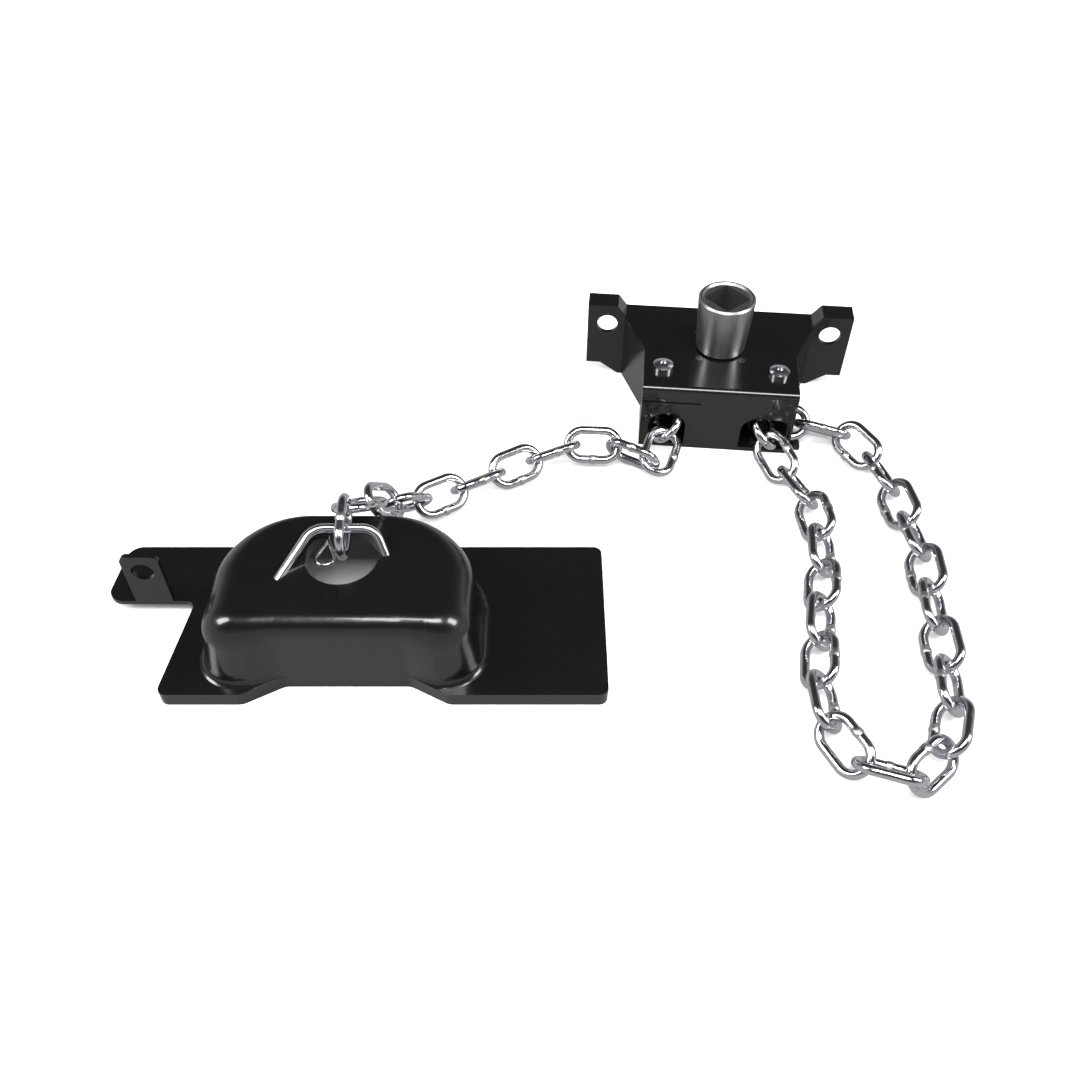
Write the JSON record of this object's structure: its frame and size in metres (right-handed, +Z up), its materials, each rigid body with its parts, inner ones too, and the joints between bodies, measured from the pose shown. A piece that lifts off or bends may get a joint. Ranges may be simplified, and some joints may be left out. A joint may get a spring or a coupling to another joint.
{
  "type": "spare wheel carrier winch",
  "caption": "Chain winch for a truck or trailer spare wheel: folded housing with square drive socket, welded-link chain, slack loop and pressed carrier plate.",
  "frame": {"origin": "under the middle of the laid-out object, on the surface it lies on", "axes": "+X to the right along the carrier plate, +Y towards the winch, +Z up along the drive axis"},
  "size_m": [0.4974, 0.3704, 0.0899],
  "materials": {
    "black_paint": "gloss black paint",
    "zinc": "bright zinc plate",
    "galvanised": "satin galvanised steel",
    "bronze": "bearing bronze",
    "steel": "oiled steel",
    "iron": "cast iron"
  },
  "bodies": {
    "winch": {"mounting_bracket": "black_paint", "side_walls": "black_paint", "base_plate": "black_paint", "chain_guide": "black_paint", "cover_screws": "zinc", "cover_nuts": "zinc", "top_bush": "bronze", "bottom_bush": "bronze", "reaction_pins": "steel", "thrust_washer": "bronze", "chain_anchor": "zinc", "chain_on_wheel": "zinc"},
    "drive": {"drive_socket": "galvanised", "drive_shaft": "steel", "eccentric": "steel", "retaining_ring": "steel", "cone_spring": "steel"},
    "gear": {"cycloid_gear": "iron", "gear_sleeve": "bronze"},
    "wheel": {"chain_wheel": "iron"},
    "slack_loop": {"loop_link_01": "zinc", "loop_link_02": "zinc", "loop_link_03": "zinc", "loop_link_04": "zinc", "loop_link_05": "zinc", "loop_link_06": "zinc", "loop_link_07": "zinc", "loop_link_08": "zinc", "loop_link_09": "zinc", "loop_link_10": "zinc", "loop_link_11": "zinc", "loop_link_12": "zinc", "loop_link_13": "zinc", "loop_link_14": "zinc", "loop_link_15": "zinc", "loop_link_16": "zinc", "loop_link_17": "zinc", "loop_link_18": "zinc", "loop_link_19": "zinc", "loop_link_20": "zinc", "loop_link_21": "zinc"},
    "run_01": {"run_link_01": "zinc"},
    "run_02": {"run_link_02": "zinc"},
    "run_03": {"run_link_03": "zinc"},
    "run_04": {"run_link_04": "zinc"},
    "run_05": {"run_link_05": "zinc"},
    "run_06": {"run_link_06": "zinc"},
    "run_07": {"run_link_07": "zinc"},
    "run_08": {"run_link_08": "zinc"},
    "run_09": {"run_link_09": "zinc"},
    "run_10": {"run_link_10": "zinc"},
    "run_11": {"run_link_11": "zinc"},
    "carrier": {"carrier_plate": "black_paint", "chain_bar": "zinc", "split_pin": "zinc"}
  },
  "joints": [
    {"name": "drive_spin", "type": "hinge", "parent": "winch", "child": "drive", "pos_m": [0.12919, 0.13391, 0.06003], "axis": [0, 0, 1], "continuous": true},
    {"name": "gear_orbit", "type": "hinge", "parent": "drive", "child": "gear", "pos_m": [0.13038, 0.1338, 0.03098], "axis": [0, 0, 1], "continuous": true},
    {"name": "wheel_spin", "type": "hinge", "parent": "winch", "child": "wheel", "pos_m": [0.12919, 0.13391, 0.01703], "axis": [0, 0, 1], "continuous": true, "deforming": ["chain_on_wheel"]},
    {"name": "slack_swing", "type": "hinge", "parent": "winch", "child": "slack_loop", "pos_m": [0.15661, 0.07231, 0.01703], "axis": [-0.7238, -0.6821, 0.1047], "range_deg": [0, 20]},
    {"name": "run_01_hinge", "type": "hinge", "parent": "winch", "child": "run_01", "pos_m": [0.0909, 0.07841, 0.01703], "axis": [0.7041, -0.0653, 0.7071], "range_deg": [-25, 25]},
    {"name": "run_02_hinge", "type": "hinge", "parent": "run_01", "child": "run_02", "pos_m": [0.08059, 0.05275, 0.00979], "axis": [0.9029, -0.2681, -0.3359], "range_deg": [-12, 25]},
    {"name": "run_03_hinge", "type": "hinge", "parent": "run_02", "child": "run_03", "pos_m": [0.05299, 0.07404, 0.01295], "axis": [0.1358, 0.3155, -0.9392], "range_deg": [-25, 25]},
    {"name": "run_04_hinge", "type": "hinge", "parent": "run_03", "child": "run_04", "pos_m": [0.02481, 0.07513, 0.0132], "axis": [0.0334, 0.7063, 0.7071], "range_deg": [-25, 25]},
    {"name": "run_05_hinge", "type": "hinge", "parent": "run_04", "child": "run_05", "pos_m": [-0.00045, 0.06198, 0.0105], "axis": [0.266, -0.6559, 0.7064], "range_deg": [-25, 25]},
    {"name": "run_06_hinge", "type": "hinge", "parent": "run_05", "child": "run_06", "pos_m": [-0.02432, 0.04699, 0.01124], "axis": [0.3601, -0.6086, -0.7071], "range_deg": [-25, 25]},
    {"name": "run_07_hinge", "type": "hinge", "parent": "run_06", "child": "run_07", "pos_m": [-0.04854, 0.03265, 0.01179], "axis": [-0.3722, 0.6014, -0.707], "range_deg": [-25, 25]},
    {"name": "run_08_hinge", "type": "hinge", "parent": "run_07", "child": "run_08", "pos_m": [-0.07119, 0.01617, 0.01494], "axis": [-0.3512, 0.6175, 0.7038], "range_deg": [-25, 25]},
    {"name": "run_09_hinge", "type": "hinge", "parent": "run_08", "child": "run_09", "pos_m": [-0.08341, -0.00012, 0.03468], "axis": [0.8515, -0.0034, 0.5244], "range_deg": [-25, 25]},
    {"name": "run_10_hinge", "type": "hinge", "parent": "run_09", "child": "run_10", "pos_m": [-0.09282, -0.01844, 0.05388], "axis": [0.4014, -0.7529, -0.5216], "range_deg": [-25, 25]},
    {"name": "run_11_hinge", "type": "hinge", "parent": "run_10", "child": "run_11", "pos_m": [-0.10381, -0.03964, 0.0689], "axis": [-0.9184, 0.2743, -0.2851], "range_deg": [0, 25]},
    {"name": "carrier_hinge", "type": "hinge", "parent": "run_11", "child": "carrier", "pos_m": [-0.10257, -0.05158, 0.06603], "axis": [1, 0, 0], "range_deg": [-50, 0]}
  ],
  "couplings": [
    {"joint": "gear_orbit", "follows": "drive_spin", "ratio": -1},
    {"joint": "wheel_spin", "follows": "drive_spin", "ratio": 0.076923}
  ]
}
